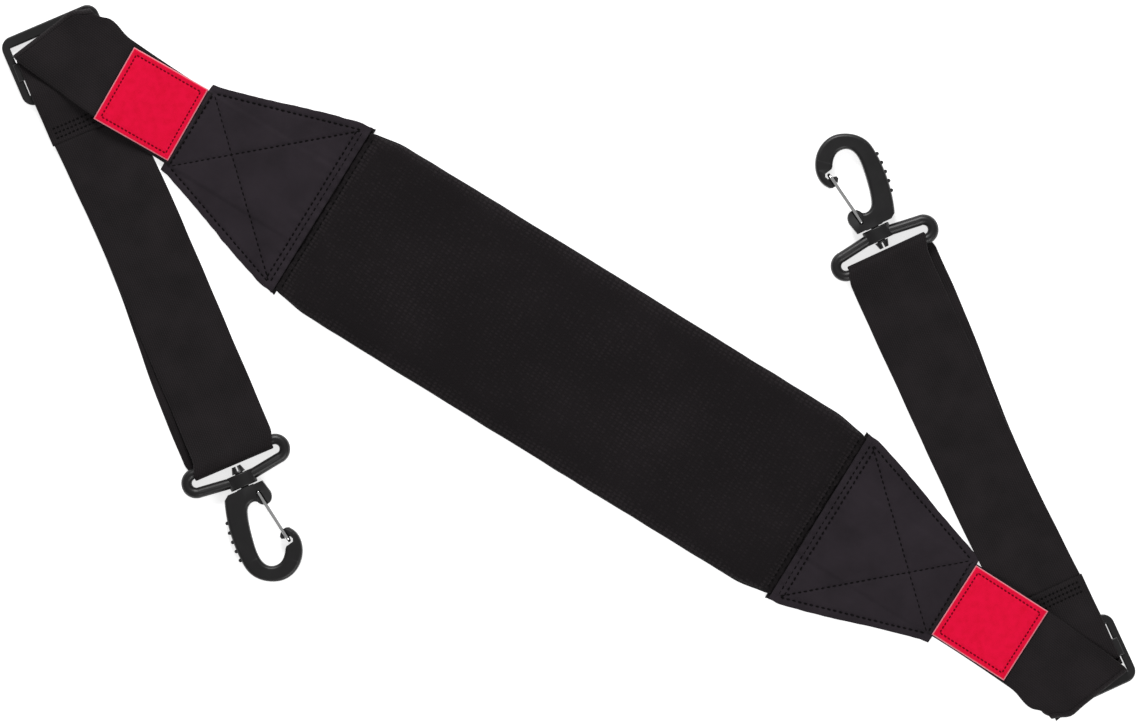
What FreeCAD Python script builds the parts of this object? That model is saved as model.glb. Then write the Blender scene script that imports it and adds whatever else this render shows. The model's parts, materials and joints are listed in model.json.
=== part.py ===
import FreeCAD, Part
import math
import os

# Padded shoulder carrying strap: a foam pad with a webbing strand, a slider and a swivel snap hook at each end.
# It lies flat with both ends folded back beside the pad. Millimetres, +X along the pad, +Z up from the floor,
# origin at the centre of the pad's underside. Each end is built as the -X end and the other is turned half round.

# Webbing
WEB_WIDTH = 50.0
WEB_THICK = 1.5

# Pad and its two tapered end panels
PAD_LENGTH = 346.0
PAD_END_WIDTH = 110.0
PAD_MID_WIDTH = 115.0
PAD_HEIGHT = 8.0
FABRIC = 1.2
PANEL_WIDE = 116.0
PANEL_NARROW = 57.0
PANEL_TIP_X = 266.0
PANEL_TOP_Z = 3.7
STITCH_HEIGHT = 0.4
STITCH_WIDTH = 1.0
STITCH_PITCH = 6.0
STITCH_SHARE = 0.6
EDGE_ROW_INSET = 3.0
SEAM_ROW_INSET = 5.0
CROSS_ROW_GAP = 5.0

# Label sewn on each strand
LABEL_WIDTH = 48.5
LABEL_THICK = 0.8
LABEL_INSET = 1.0
LABEL_HEM = 3.0

# Strand from the pad to the fold, and the fold itself
STRAND_ROOT_Z = FABRIC + 0.9
STRAND_TOP_Z = 10.9
RAMP_END_X = 316.0
BEND_X = 319.0
FOLD_X = 363.0
FOLD_Y = 5.0
FOLD_BAR_GAP = 0.3

# Slider: a frame with two slots and a raised centre bar
SLIDER_LENGTH = 43.0
SLIDER_WIDTH = 61.0
SLIDER_THICK = 4.6
SLIDER_CORNER = 7.0
SLIDER_EDGE = 0.9
SLOT_WIDTH = 51.5
SLOT_LENGTH = 9.5
CENTRE_BAR = 11.2
CENTRE_BAR_BOTTOM = 2 * WEB_THICK
CENTRE_BAR_THICK = 2.8
CENTRE_BAR_ROOT = 2.5
CENTRE_BAR_EDGE = 0.8
NEAR_WEB_END = 48.0
RAMP_FOOT = 36.0
WEAVE_RISE = 3.0
TACK_INSET = 3.0
TACK_MARGIN = 4.0

# Folded-back arm: slider_reach is from the fold to the slider's centre, arm_length from there to the arm's end
BIGHT_LENGTH = 30.0
BIGHT_SEAM = 4.0
LAYER_DROP = 14.0
SIDES = {
    "left": {"turn": 0, "slider_reach": 14.0, "arm_length": 262.5, "arm_angle": -35.25, "hook_cant": 0.5},
    "right": {"turn": 180, "slider_reach": 18.5, "arm_length": 270.0, "arm_angle": -33.65, "hook_cant": 0.6},
}

# Swivel loop and hook
AXIS_Z = 5.5
LOOP_ROD = 3.2
LOOP_BAR = 3.0
BAR_CLEARANCE = 0.3
LOBE_Y = 25.3
BAR_TO_BARREL = 14.8
BARREL_HALF = 4.2
BARREL_Y = 8.5
BARREL_EDGE = 0.8
SHOULDER_END = 0.6
SHOULDER_INSET = 3.0
SHANK_RADIUS = 2.5
SHANK_CLEARANCE = 0.1
SHANK_ROOT = 8.0
SWIVEL_GAP = 0.4
BUTTON_RADIUS = 4.2
BUTTON_TIP_RADIUS = 2.8
BUTTON_END = 8.8
BUTTON_SPLIT = 1.0
FLANGE_THICK = 1.2
HOOK_HALF = 5.3
HOOK_EDGE = 2.2
RIB_RADIUS = 1.1
RIB_HALF = 3.4
WIRE_RADIUS = 1.15
WIRE_BEND = 2.35
WIRE_INTURN = 1.0
LEG_Z = 3.7
GATE_PIVOT = (10.6, 6.1)
GATE_TIP = (43.6, 11.3)
GATE_TRAVEL = 28.0
GATE_MARGIN = 2.0
GROOVE_CLEARANCE = 0.35
PIN_CLEARANCE = 0.05

Z = FreeCAD.Vector(0, 0, 1)
O = FreeCAD.Vector(0, 0, 0)


def point(x, y, z=0.0):
    return FreeCAD.Vector(x, y, z)


def unit(angle):
    return point(math.cos(math.radians(angle)), math.sin(math.radians(angle)))


def block(x0, x1, y0, y1, z0, z1):
    return Part.makeBox(x1 - x0, y1 - y0, z1 - z0, point(x0, y0, z0))


def prism(outline, z0, z1):
    """Closed plan outline, as (x, y) pairs, raised from z0 to z1."""
    corners = [point(x, y, z0) for x, y in outline]
    return Part.Face(Part.makePolygon(corners + corners[:1])).extrude(point(0, 0, z1 - z0))


def side_prism(profile, width):
    """Closed (x, z) profile, drawn out across the webbing."""
    corners = [point(x, -width / 2, z) for x, z in profile]
    return Part.Face(Part.makePolygon(corners + corners[:1])).extrude(point(0, width, 0))


def band(stations, width=WEB_WIDTH, thick=WEB_THICK):
    """Layer of webbing whose underside passes through the (x, z) stations."""
    upper = [(x, z + thick) for x, z in reversed(stations)]
    return side_prism(list(stations) + upper, width)


def rod(start, end, radius):
    run = end - start
    return Part.makeCylinder(radius, run.Length, start, run)


def pad_outline(half_length, inset=0.0):
    """Plan of the pad, with its long sides bowed out a little."""
    end = PAD_END_WIDTH / 2 - inset
    mid = PAD_MID_WIDTH / 2 - inset
    long_side = Part.Arc(point(-half_length, end), point(0, mid), point(half_length, end)).toShape()
    other_side = Part.Arc(point(half_length, -end), point(0, -mid), point(-half_length, -end)).toShape()
    ends = [
        Part.makeLine(point(half_length, end), point(half_length, -end)),
        Part.makeLine(point(-half_length, -end), point(-half_length, end)),
    ]
    return Part.Face(Part.Wire([long_side, ends[0], other_side, ends[1]]))


def stitch_rows(start, end, base_z):
    """A row of raised stitches from start to end, in plan."""
    run = end - start
    count = int(run.Length // STITCH_PITCH)
    rows = []
    for n in range(count):
        stitch = block(0, STITCH_PITCH * STITCH_SHARE, -STITCH_WIDTH / 2, STITCH_WIDTH / 2, 0, STITCH_HEIGHT)
        stitch.rotate(O, Z, math.degrees(math.atan2(run.y, run.x)))
        place = start + run * ((n + 0.2) / count)
        stitch.translate(point(place.x, place.y, base_z))
        rows.append(stitch)
    return rows


def panel_outline(inset=0.0):
    wide = PANEL_WIDE / 2 - inset
    narrow = PANEL_NARROW / 2 - inset
    x_wide = -PAD_LENGTH / 2
    x_tip = -PANEL_TIP_X + inset
    return [(x_wide, -wide), (x_wide, wide), (x_tip, narrow), (x_tip, -narrow)]


def make_pad():
    half = PAD_LENGTH / 2
    outer = pad_outline(half)
    inner = pad_outline(half, FABRIC)
    lining = outer.extrude(point(0, 0, FABRIC))
    core = block(-PANEL_TIP_X, PANEL_TIP_X, -WEB_WIDTH / 2, WEB_WIDTH / 2, FABRIC, FABRIC + WEB_THICK)
    foam = inner.extrude(point(0, 0, PAD_HEIGHT - 2 * FABRIC))
    foam.translate(point(0, 0, FABRIC))
    cover = outer.extrude(point(0, 0, PAD_HEIGHT - FABRIC))
    cover.translate(point(0, 0, FABRIC))
    return {
        "pad_lining": lining,
        "core_webbing": core,
        "pad_foam": foam.cut(core),
        "pad_cover": cover.cut(foam).cut(core),
    }


def make_panel():
    """Tapered end panel in two fabric layers, with the core webbing between them, and its stitching."""
    under = prism(panel_outline(), 0, FABRIC)
    core = block(-PANEL_TIP_X, 0, -WEB_WIDTH / 2, WEB_WIDTH / 2, FABRIC, FABRIC + WEB_THICK)
    top = prism(panel_outline(), FABRIC, PANEL_TOP_Z).cut(core)
    (x0, y0), (x1, y1), (x2, y2), (x3, y3) = panel_outline(inset=EDGE_ROW_INSET)
    seam_x = -PAD_LENGTH / 2 - SEAM_ROW_INSET
    corners = [point(seam_x, y0), point(seam_x, y1), point(x2, y2), point(x3, y3)]
    pairs = [(0, 1), (1, 2), (2, 3), (3, 0)]
    stitches = []
    for a, b in pairs:
        inward = (corners[b] - corners[a]).normalize() * EDGE_ROW_INSET
        stitches += stitch_rows(corners[a] + inward, corners[b] - inward, PANEL_TOP_Z)
    centre = crossing(corners)
    for corner in corners:
        reach = (centre - corner).normalize() * CROSS_ROW_GAP
        stitches += stitch_rows(corner + reach, centre - reach * 0.5, PANEL_TOP_Z)
    return {
        "end_panel_under": under,
        "end_panel_top": top,
        "cross_stitching": Part.makeCompound(stitches),
    }


def crossing(corners):
    """Where the two diagonals of a four-cornered outline meet."""
    a, b, c, d = corners[0], corners[2], corners[1], corners[3]
    across = (b - a).x * (d - c).y - (b - a).y * (d - c).x
    share = ((c - a).x * (d - c).y - (c - a).y * (d - c).x) / across
    return a + (b - a) * share


FOLD = point(-FOLD_X, FOLD_Y)
BEND = point(-BEND_X, 0)
STRAND_OUT = (FOLD - BEND).normalize()
OUT_ANGLE = math.degrees(math.atan2(STRAND_OUT.y, STRAND_OUT.x))
STRAND_UNDER_Z = STRAND_TOP_Z - WEB_THICK
BAR_TOP_WEB_Z = SLIDER_THICK + FOLD_BAR_GAP
FOLD_AXIS_Z = (STRAND_TOP_Z + BAR_TOP_WEB_Z) / 2


def fold_angle(side):
    """Direction of the fold line that lays the strand back along the arm."""
    return (OUT_ANGLE + side["arm_angle"]) / 2


def slider_centre(side):
    return FOLD + unit(side["arm_angle"]) * side["slider_reach"]


def to_slider(shape, side):
    """From the slider's own frame, x along the arm, to the -X end's place."""
    shape.rotate(O, Z, side["arm_angle"])
    shape.translate(slider_centre(side))
    return shape


def beyond_fold(side):
    """Half-space block on the outer side of the fold line."""
    reach = 200.0
    outer = block(-reach, 0, -reach, reach, -reach, reach)
    outer.rotate(O, Z, fold_angle(side) - 90.0)
    outer.translate(FOLD)
    return outer


def make_strand(side):
    """Strand that leaves the end panel, rises over the arm and ends at the fold, with its label."""
    ramp = [(-RAMP_END_X, STRAND_UNDER_Z), (-PANEL_TIP_X, STRAND_ROOT_Z)]
    first = band([(-BEND_X, STRAND_UNDER_Z)] + ramp)
    half = WEB_WIDTH / 2
    length = (FOLD - BEND).Length + half
    last = block(0, length, -half, half, STRAND_UNDER_Z, STRAND_TOP_Z)
    last.rotate(O, Z, OUT_ANGLE)
    last.translate(BEND)
    corner = prism([(-BEND_X, 0), (-BEND_X, half), (-BEND_X - half * STRAND_OUT.y, half)],
                   STRAND_UNDER_Z, STRAND_TOP_Z)
    last = last.cut(block(-BEND_X, 0, -half * 2, half * 2, 0, 20)).fuse(corner)
    strand = first.fuse(last).cut(beyond_fold(side)).removeSplitter()
    rise = (STRAND_UNDER_Z - STRAND_ROOT_Z) / (RAMP_END_X - PANEL_TIP_X)
    label_x = (-RAMP_END_X, -PANEL_TIP_X - LABEL_INSET)
    seat = [(x, STRAND_ROOT_Z + WEB_THICK + rise * (-x - PANEL_TIP_X)) for x in label_x]
    label = band(seat, LABEL_WIDTH, LABEL_THICK)
    hem_x = (label_x[0] + LABEL_HEM, label_x[1] - LABEL_HEM)
    hem_seat = [(x, seat[0][1] + LABEL_THICK - rise * (x - label_x[0])) for x in hem_x]
    hem_width = LABEL_WIDTH - 2 * LABEL_HEM
    hem = band(hem_seat, hem_width, STITCH_HEIGHT)
    hem = hem.cut(block(hem_x[0] + STITCH_WIDTH, hem_x[1] - STITCH_WIDTH,
                        STITCH_WIDTH - hem_width / 2, hem_width / 2 - STITCH_WIDTH, 0, 20))
    return {"strand": strand, "label": label, "label_stitching": hem}


def make_turn(side):
    """The bend itself: a half tube of webbing outside the fold line."""
    outer = (STRAND_TOP_Z - BAR_TOP_WEB_Z) / 2
    length = WEB_WIDTH / abs(math.sin(math.radians(OUT_ANGLE - fold_angle(side))))
    start = FOLD - unit(fold_angle(side)) * (length / 2) + Z * FOLD_AXIS_Z
    tube = Part.makeCylinder(outer, length, start, unit(fold_angle(side)))
    tube = tube.cut(Part.makeCylinder(outer - WEB_THICK, length, start, unit(fold_angle(side))))
    return {"strand_turn": tube.common(beyond_fold(side))}


def make_slider():
    """Frame in its own frame: x towards the hook, y across the webbing."""
    half_x, half_y = SLIDER_LENGTH / 2, SLIDER_WIDTH / 2
    frame = block(-half_x, half_x, -half_y, half_y, 0, SLIDER_THICK)
    upright = [e for e in frame.Edges if abs(e.tangentAt(e.FirstParameter).z) > 0.9]
    frame = frame.makeFillet(SLIDER_CORNER, upright)
    window = CENTRE_BAR / 2 + SLOT_LENGTH
    frame = frame.cut(block(-window, window, -SLOT_WIDTH / 2, SLOT_WIDTH / 2, 0, SLIDER_THICK))
    rims = [e for e in frame.Edges if abs(e.CenterOfMass.z - SLIDER_THICK) < 0.01 or e.CenterOfMass.z < 0.01]
    frame = frame.makeFillet(SLIDER_EDGE, rims)
    bar_top = CENTRE_BAR_BOTTOM + CENTRE_BAR_THICK
    bar_half = SLOT_WIDTH / 2 + CENTRE_BAR_ROOT
    bar = block(-CENTRE_BAR / 2, CENTRE_BAR / 2, -bar_half, bar_half, CENTRE_BAR_BOTTOM, bar_top)
    bar = bar.makeFillet(CENTRE_BAR_EDGE, [e for e in bar.Edges if abs(e.tangentAt(e.FirstParameter).z) < 0.1])
    return frame.fuse(bar).removeSplitter()


def make_slider_webbing(side):
    """The two layers woven through the slider: the sliding strand, and the sewn loop round the centre bar."""
    bar = CENTRE_BAR / 2
    near = SLIDER_LENGTH / 2
    near_in = bar + SLOT_LENGTH
    rise_foot = -bar - WEB_THICK
    rise_top = rise_foot - WEAVE_RISE
    weave = band([(-SLIDER_LENGTH, BAR_TOP_WEB_Z), (rise_top, BAR_TOP_WEB_Z), (rise_foot, 0), (bar, 0),
                  (near_in, SLIDER_THICK), (near, SLIDER_THICK), (RAMP_FOOT, 0), (NEAR_WEB_END, 0)])
    weave = to_slider(weave, side).cut(beyond_fold(side))
    over_bar = CENTRE_BAR_BOTTOM + CENTRE_BAR_THICK
    layer = WEB_THICK
    tail = band([(-bar, layer), (bar, layer), (near_in, SLIDER_THICK + layer), (near, SLIDER_THICK + layer),
                 (RAMP_FOOT, layer), (NEAR_WEB_END, layer)])
    main = band([(-bar, over_bar), (bar, over_bar), (near_in, SLIDER_THICK + 2 * layer),
                 (near, SLIDER_THICK + 2 * layer), (RAMP_FOOT, 2 * layer), (NEAR_WEB_END, 2 * layer)])
    wrap = block(-bar - layer, -bar, -WEB_WIDTH / 2, WEB_WIDTH / 2, layer, over_bar + layer)
    sewn = tail.fuse(main).fuse(wrap).removeSplitter()
    stitches = []
    half = WEB_WIDTH / 2 - TACK_MARGIN
    for x in (RAMP_FOOT + TACK_INSET, NEAR_WEB_END - TACK_INSET):
        stitches += stitch_rows(point(x, -half), point(x, half), 3 * layer)
    return {
        "slider_webbing": weave,
        "sewn_loop": to_slider(sewn, side),
        "tail_stitching": to_slider(Part.makeCompound(stitches), side),
    }


def bight_pivot(side):
    """Where the end of the arm is turned a little out of line, in the slider's frame."""
    return point(side["arm_length"] - BIGHT_LENGTH, 0)


def to_loop(shape, side):
    """From the loop's frame, with its bar along y through the origin, to the -X end's place."""
    bar_x = side["arm_length"] - LOOP_BAR - BAR_CLEARANCE - WEB_THICK
    shape.translate(point(bar_x, 0, AXIS_Z))
    shape.rotate(bight_pivot(side), Z, side["hook_cant"])
    return to_slider(shape, side)


def touch_point(start, radius, up):
    """Where a line from start, in (x, z), touches the circle round the origin: above it if up is 1, below if -1."""
    angle = math.atan2(start[1], start[0]) - up * math.acos(radius / math.hypot(*start))
    return radius * math.cos(angle), radius * math.sin(angle)


def wrap_shape(low_start, high_start, radius):
    """Two flat runs of webbing's width that end in a half turn round the origin."""
    low = touch_point(low_start, radius, -1)
    high = touch_point(high_start, radius, 1)
    low_start, low, front, high, high_start = [
        point(x, -WEB_WIDTH / 2, z) for x, z in (low_start, low, (radius, 0), high, high_start)]
    edges = [Part.makeLine(low_start, low), Part.Arc(low, front, high).toShape(), Part.makeLine(high, high_start)]
    if (high_start - low_start).Length > WEB_THICK / 2:
        edges.append(Part.makeLine(high_start, low_start))
    return Part.Face(Part.Wire(edges)).extrude(point(0, WEB_WIDTH, 0))


def make_arm(side):
    """Two long layers of the arm, and the bight that carries the loop's bar."""
    layer = WEB_THICK
    end = side["arm_length"]
    start = NEAR_WEB_END
    under = band([(start, 0), (end, 0)])
    upper = band([(start, 2 * layer), (start + LAYER_DROP, layer), (end, layer)])
    bore = LOOP_BAR + BAR_CLEARANCE
    outer = bore + WEB_THICK
    back = BIGHT_LENGTH - outer
    floor = -AXIS_Z
    apex = (-back + BIGHT_SEAM, floor + layer * 1.1)
    bight = wrap_shape((-back, floor), (-back, floor + 2 * layer), outer).cut(wrap_shape(apex, apex, bore))
    zone = block(-back, outer * 2, -WEB_WIDTH, WEB_WIDTH, -20, 20)
    zone = to_loop(zone, side)
    return {
        "arm_under": to_slider(under, side).cut(zone),
        "arm_upper": to_slider(upper, side).cut(zone),
        "arm_bight": to_loop(bight, side),
    }


def make_loop():
    """Swivel loop: a straight bar, two round lobes and shoulders that rise to the barrel. x towards the hook."""
    lobe = (BAR_TO_BARREL - LOOP_ROD) / 2
    shoulder_x = 2 * lobe
    bar = rod(point(0, -LOBE_Y), point(0, LOBE_Y), LOOP_BAR)
    loop = bar
    for mirror in (1, -1):
        lobe_ring = Part.makeTorus(lobe, LOOP_ROD, point(lobe, LOBE_Y * mirror), Z)
        inward = 0.0 if mirror > 0 else -30.0
        lobe_ring = lobe_ring.common(block(-20, 40, LOBE_Y * mirror + inward, LOBE_Y * mirror + inward + 30, -10, 10))
        shoulder = rod(point(shoulder_x, LOBE_Y * mirror),
                       point(BAR_TO_BARREL - SHOULDER_END, (BARREL_Y - SHOULDER_INSET) * mirror), LOOP_ROD)
        knuckle = Part.makeSphere(LOOP_ROD, point(shoulder_x, LOBE_Y * mirror))
        loop = loop.fuse(lobe_ring).fuse(shoulder).fuse(knuckle)
    barrel = Part.Ellipse(O, BARREL_Y, AXIS_Z).toShape()
    barrel = Part.Face(Part.Wire(barrel)).extrude(point(0, 0, 2 * BARREL_HALF))
    barrel = barrel.makeFillet(BARREL_EDGE, [e for e in barrel.Edges if e.Closed and e.Length > 20])
    barrel.rotate(O, point(1, 0, 0), -90)
    barrel.rotate(O, Z, -90)
    barrel.translate(point(BAR_TO_BARREL - BARREL_HALF, 0))
    hole = rod(point(BAR_TO_BARREL - 10, 0), point(BAR_TO_BARREL + 10, 0), SHANK_RADIUS + SHANK_CLEARANCE)
    return loop.fuse(barrel).cut(hole).removeSplitter()


# Hook outline in its own frame: x from the barrel's centre to the tip, y towards the nose.
HOOK_OUTER = [(7.3, -14.2), (20.3, -17.8), (32.4, -19.3), (44.5, -19.2), (51.5, -17.9), (57.5, -14.0),
              (62.0, -7.5), (63.8, -0.5), (62.6, 6.0), (59.0, 11.6), (54.0, 15.5), (48.5, 17.5),
              (43.0, 17.6), (38.6, 15.9)]
HOOK_INNER = [(47.5, 7.3), (51.2, 4.8), (53.5, 1.6), (54.0, -2.0), (52.8, -5.4), (50.0, -7.7),
              (45.6, -8.8), (38.0, -8.5), (28.8, -7.1), (20.0, -5.0), (16.2, -3.0), (14.6, 0.0), (15.6, 3.4)]
HOOK_LUG = [(15.6, 3.4), (18.0, 5.2), (19.0, 7.8), (18.2, 10.6), (15.6, 12.5), (12.2, 12.8)]
HOOK_RIBS = [(20.0, -18.0), (25.8, -19.0), (31.5, -19.5), (37.3, -19.7), (43.1, -19.6)]


def spline(points):
    curve = Part.BSplineCurve()
    curve.interpolate([point(x, y) for x, y in points])
    return curve.toShape()


def chain(points):
    places = [point(x, y) for x, y in points]
    return [Part.makeLine(a, b) for a, b in zip(places, places[1:])]


def make_hook_blank():
    """Flat hook body with nose, notch and gate lug, before its edges are rounded."""
    nose = [HOOK_OUTER[-1], (36.6, 14.4), (35.9, 12.4), (36.4, 10.2), (37.8, 8.4), (39.6, 7.2),
            (41.2, 7.6), (41.8, 9.4), (41.8, 13.0), (43.6, 13.9), (45.3, 13.1), (46.2, 8.6), HOOK_INNER[0]]
    foot = [HOOK_LUG[-1], (5.0, 10.9), (5.0, -10.9), HOOK_OUTER[0]]
    edges = [spline(HOOK_OUTER)] + chain(nose) + [spline(HOOK_INNER), spline(HOOK_LUG)] + chain(foot)
    face = Part.Face(Part.Wire(edges))
    blank = face.extrude(point(0, 0, 2 * HOOK_HALF))
    blank.translate(point(0, 0, -HOOK_HALF))
    return blank


def wire_sweep_cut(radius):
    """Grooves on both faces that the gate's legs swing in, from the pivot outwards."""
    x, y = GATE_PIVOT
    length = math.hypot(GATE_TIP[0] - x, GATE_TIP[1] - y) + radius
    rest = math.degrees(math.atan2(GATE_TIP[1] - y, GATE_TIP[0] - x))
    depth = HOOK_HALF - LEG_Z + radius
    cuts = []
    for z0 in (LEG_Z - radius, -HOOK_HALF):
        sweep = Part.makeCylinder(length, depth, point(x, y, z0), Z, GATE_TRAVEL + 2 * GATE_MARGIN)
        sweep.rotate(point(x, y), Z, rest - GATE_TRAVEL - GATE_MARGIN)
        cuts.append(sweep)
        cuts.append(Part.makeCylinder(radius, depth, point(x, y, z0)))
        for edge in (rest + 1.0, rest - GATE_TRAVEL):
            side = block(0, length, -radius, radius, z0, z0 + depth)
            side.rotate(O, Z, edge)
            side.translate(point(x, y))
            cuts.append(side)
    return cuts


def make_hook():
    hook = make_hook_blank()
    round_edges = [e for e in hook.Edges if abs(abs(e.CenterOfMass.z) - HOOK_HALF) < 0.01 and e.Length > 25]
    hook = hook.makeFillet(HOOK_EDGE, round_edges)
    for x, y in HOOK_RIBS:
        hook = hook.fuse(rod(point(x, y, -RIB_HALF), point(x, y, RIB_HALF), RIB_RADIUS))
    swivel_end = BARREL_HALF + SWIVEL_GAP
    shank = rod(point(-BUTTON_END + BUTTON_SPLIT, 0), point(SHANK_ROOT, 0), SHANK_RADIUS)
    button = Part.makeCone(BUTTON_RADIUS, BUTTON_TIP_RADIUS, BUTTON_END - swivel_end,
                           point(-swivel_end, 0), point(-1, 0, 0))
    split = block(-BUTTON_END * 2, -swivel_end - BUTTON_SPLIT, -BUTTON_SPLIT / 2, BUTTON_SPLIT / 2,
                  -BUTTON_RADIUS * 2, BUTTON_RADIUS * 2)
    flange = Part.makeCylinder(HOOK_HALF, FLANGE_THICK, point(swivel_end, 0), point(1, 0, 0))
    hook = hook.fuse(flange).fuse(shank.fuse(button).cut(split))
    for cut in wire_sweep_cut(WIRE_RADIUS + GROOVE_CLEARANCE):
        hook = hook.cut(cut)
    x, y = GATE_PIVOT
    hook = hook.cut(rod(point(x, y, -HOOK_HALF), point(x, y, HOOK_HALF), WIRE_RADIUS + PIN_CLEARANCE))
    return hook.removeSplitter()


def make_gate():
    """Spring wire gate: two legs, joined at the tip, whose inturned ends sit in the hook's pivot hole."""
    base = point(*GATE_PIVOT)
    tip = point(*GATE_TIP)
    along = (tip - base).normalize()
    bend = WIRE_BEND
    gate = rod(tip + Z * (bend - LEG_Z), tip - Z * (bend - LEG_Z), WIRE_RADIUS)
    for up in (1, -1):
        leg_z = Z * (LEG_Z * up)
        gate = gate.fuse(rod(base + leg_z, tip - along * bend + leg_z, WIRE_RADIUS))
        gate = gate.fuse(Part.makeSphere(WIRE_RADIUS, base + leg_z))
        gate = gate.fuse(rod(base + Z * (WIRE_INTURN * up), base + leg_z, WIRE_RADIUS))
        centre = tip - along * bend + Z * ((LEG_Z - bend) * up)
        corner = Part.makeTorus(bend, WIRE_RADIUS, centre, along.cross(Z))
        quarter = block(0, 10, -3, 3, 0, 10)
        if up < 0:
            quarter.translate(point(0, 0, -10))
        quarter.rotate(O, Z, math.degrees(math.atan2(along.y, along.x)))
        quarter.translate(centre)
        gate = gate.fuse(corner.common(quarter))
    return gate.removeSplitter()


def to_hook(shape, side):
    shape.translate(point(BAR_TO_BARREL, 0))
    return to_loop(shape, side)


def make_side(side):
    nodes = make_panel()
    nodes.update(make_strand(side))
    nodes.update(make_turn(side))
    nodes["slider"] = to_slider(make_slider(), side)
    nodes.update(make_slider_webbing(side))
    nodes.update(make_arm(side))
    nodes["loop"] = to_loop(make_loop(), side)
    nodes["hook"] = to_hook(make_hook(), side)
    nodes["gate"] = to_hook(make_gate(), side)
    for shape in nodes.values():
        shape.rotate(O, Z, side["turn"])
    return nodes


def joint_places(side):
    """Axis and centre of each joint of a side, in its finished place, for the record."""
    bar = Part.Vertex(O)
    barrel = Part.Vertex(O)
    gate = Part.Vertex(point(*GATE_PIVOT))
    to_loop(bar, side)
    to_hook(barrel, side)
    to_hook(gate, side)
    hook_angle = side["arm_angle"] + side["hook_cant"]
    places = {
        "strand_slide": (BEND, STRAND_OUT),
        "fold": (FOLD + Z * FOLD_AXIS_Z, unit(fold_angle(side))),
        "arm_slide": (slider_centre(side), unit(side["arm_angle"])),
        "loop_pivot": (bar.Point, unit(hook_angle + 90)),
        "hook_swivel": (barrel.Point, unit(hook_angle)),
        "gate_hinge": (gate.Point, Z),
    }
    turn = FreeCAD.Rotation(Z, side["turn"])
    return {name: (turn.multVec(place), turn.multVec(axis)) for name, (place, axis) in places.items()}


def main():
    os.makedirs("parts", exist_ok=True)
    nodes = make_pad()
    for name, side in SIDES.items():
        nodes.update({f"{name}_{part}": shape for part, shape in make_side(side).items()})
    for name, shape in nodes.items():
        shape.exportStep(f"parts/{name}.step")
        print(name, shape.isValid(), len(shape.Solids), round(shape.Volume, 1))


main()
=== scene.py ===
"""Looks of a padded carrying strap round its CAD frame: fabrics, webbing, labels, stitching and hardware.

Lengths are in metres. The folds, sliders and arms are placed from the joints and boxes of the frame, and the
pad, the panels and the labels from the constants below. Both ends are built by the same functions in the left
end's own frame, and a Side turns them to their place.
"""
import json
import math
import random

import bmesh
import bpy
import numpy as np
from mathutils import Matrix, Vector, noise
from mathutils.bvhtree import BVHTree


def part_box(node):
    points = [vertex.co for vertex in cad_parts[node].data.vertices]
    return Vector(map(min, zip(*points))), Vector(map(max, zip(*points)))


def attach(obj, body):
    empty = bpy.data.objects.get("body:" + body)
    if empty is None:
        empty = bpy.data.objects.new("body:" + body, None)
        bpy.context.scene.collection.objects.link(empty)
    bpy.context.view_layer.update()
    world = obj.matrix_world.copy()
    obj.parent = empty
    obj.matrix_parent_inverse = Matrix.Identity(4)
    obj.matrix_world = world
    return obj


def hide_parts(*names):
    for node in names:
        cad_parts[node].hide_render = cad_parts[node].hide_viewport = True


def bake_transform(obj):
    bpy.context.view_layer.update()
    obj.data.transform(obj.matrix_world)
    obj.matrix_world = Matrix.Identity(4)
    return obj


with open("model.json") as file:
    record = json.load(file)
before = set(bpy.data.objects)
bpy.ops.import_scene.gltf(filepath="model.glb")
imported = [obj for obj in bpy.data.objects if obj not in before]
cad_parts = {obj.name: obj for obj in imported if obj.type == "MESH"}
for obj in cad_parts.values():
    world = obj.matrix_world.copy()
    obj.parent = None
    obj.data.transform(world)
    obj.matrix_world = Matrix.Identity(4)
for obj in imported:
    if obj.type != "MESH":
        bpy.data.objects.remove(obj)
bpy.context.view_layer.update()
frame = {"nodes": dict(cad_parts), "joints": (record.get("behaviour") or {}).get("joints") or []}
random.seed(11)

MM = 0.001
WEB_WIDTH = 50 * MM
WEB_THICK = 1.5 * MM
WEB_STEP = 1.8 * MM  # length of one mesh row along a webbing
EDGE_POINTS = 3  # points that round each edge of a section
STITCH_PITCH = 3.5 * MM
UP = Vector((0, 0, 1))
JOINTS = {joint["name"]: joint for joint in frame["joints"]}

# ---------------------------------------------------------------- small maths


def smooth(value):
    """Rises smoothly from 0 to 1 as value goes from 0 to 1."""
    value = min(1.0, max(0.0, value))
    return value * value * (3 - 2 * value)


def mix(a, b, share):
    return a + (b - a) * share


def ripple(x, y, size, seed=0.0):
    """Soft noise from about -1 to 1, with bumps of about that size."""
    return noise.noise(Vector((x / size, y / size, seed)))


def rounded(points, passes=3):
    """Corner cutting: a smoother path through nearly the same points, between the same ends."""
    for _ in range(passes):
        cut = [points[0]]
        for a, b in zip(points, points[1:]):
            cut += [mix(a, b, 0.25), mix(a, b, 0.75)]
        points = cut + [points[-1]]
    return points


def resample(points, step):
    """The same path in even steps of about that length."""
    lengths = [0.0]
    for a, b in zip(points, points[1:]):
        lengths.append(lengths[-1] + (b - a).length)
    count = max(2, round(lengths[-1] / step))
    even = []
    at = 0
    for n in range(count + 1):
        goal = lengths[-1] * n / count
        while at < len(points) - 2 and lengths[at + 1] < goal:
            at += 1
        span = max(lengths[at + 1] - lengths[at], 1e-9)
        even.append(mix(points[at], points[at + 1], min(1.0, (goal - lengths[at]) / span)))
    return even


# ---------------------------------------------------------------- materials


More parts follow.
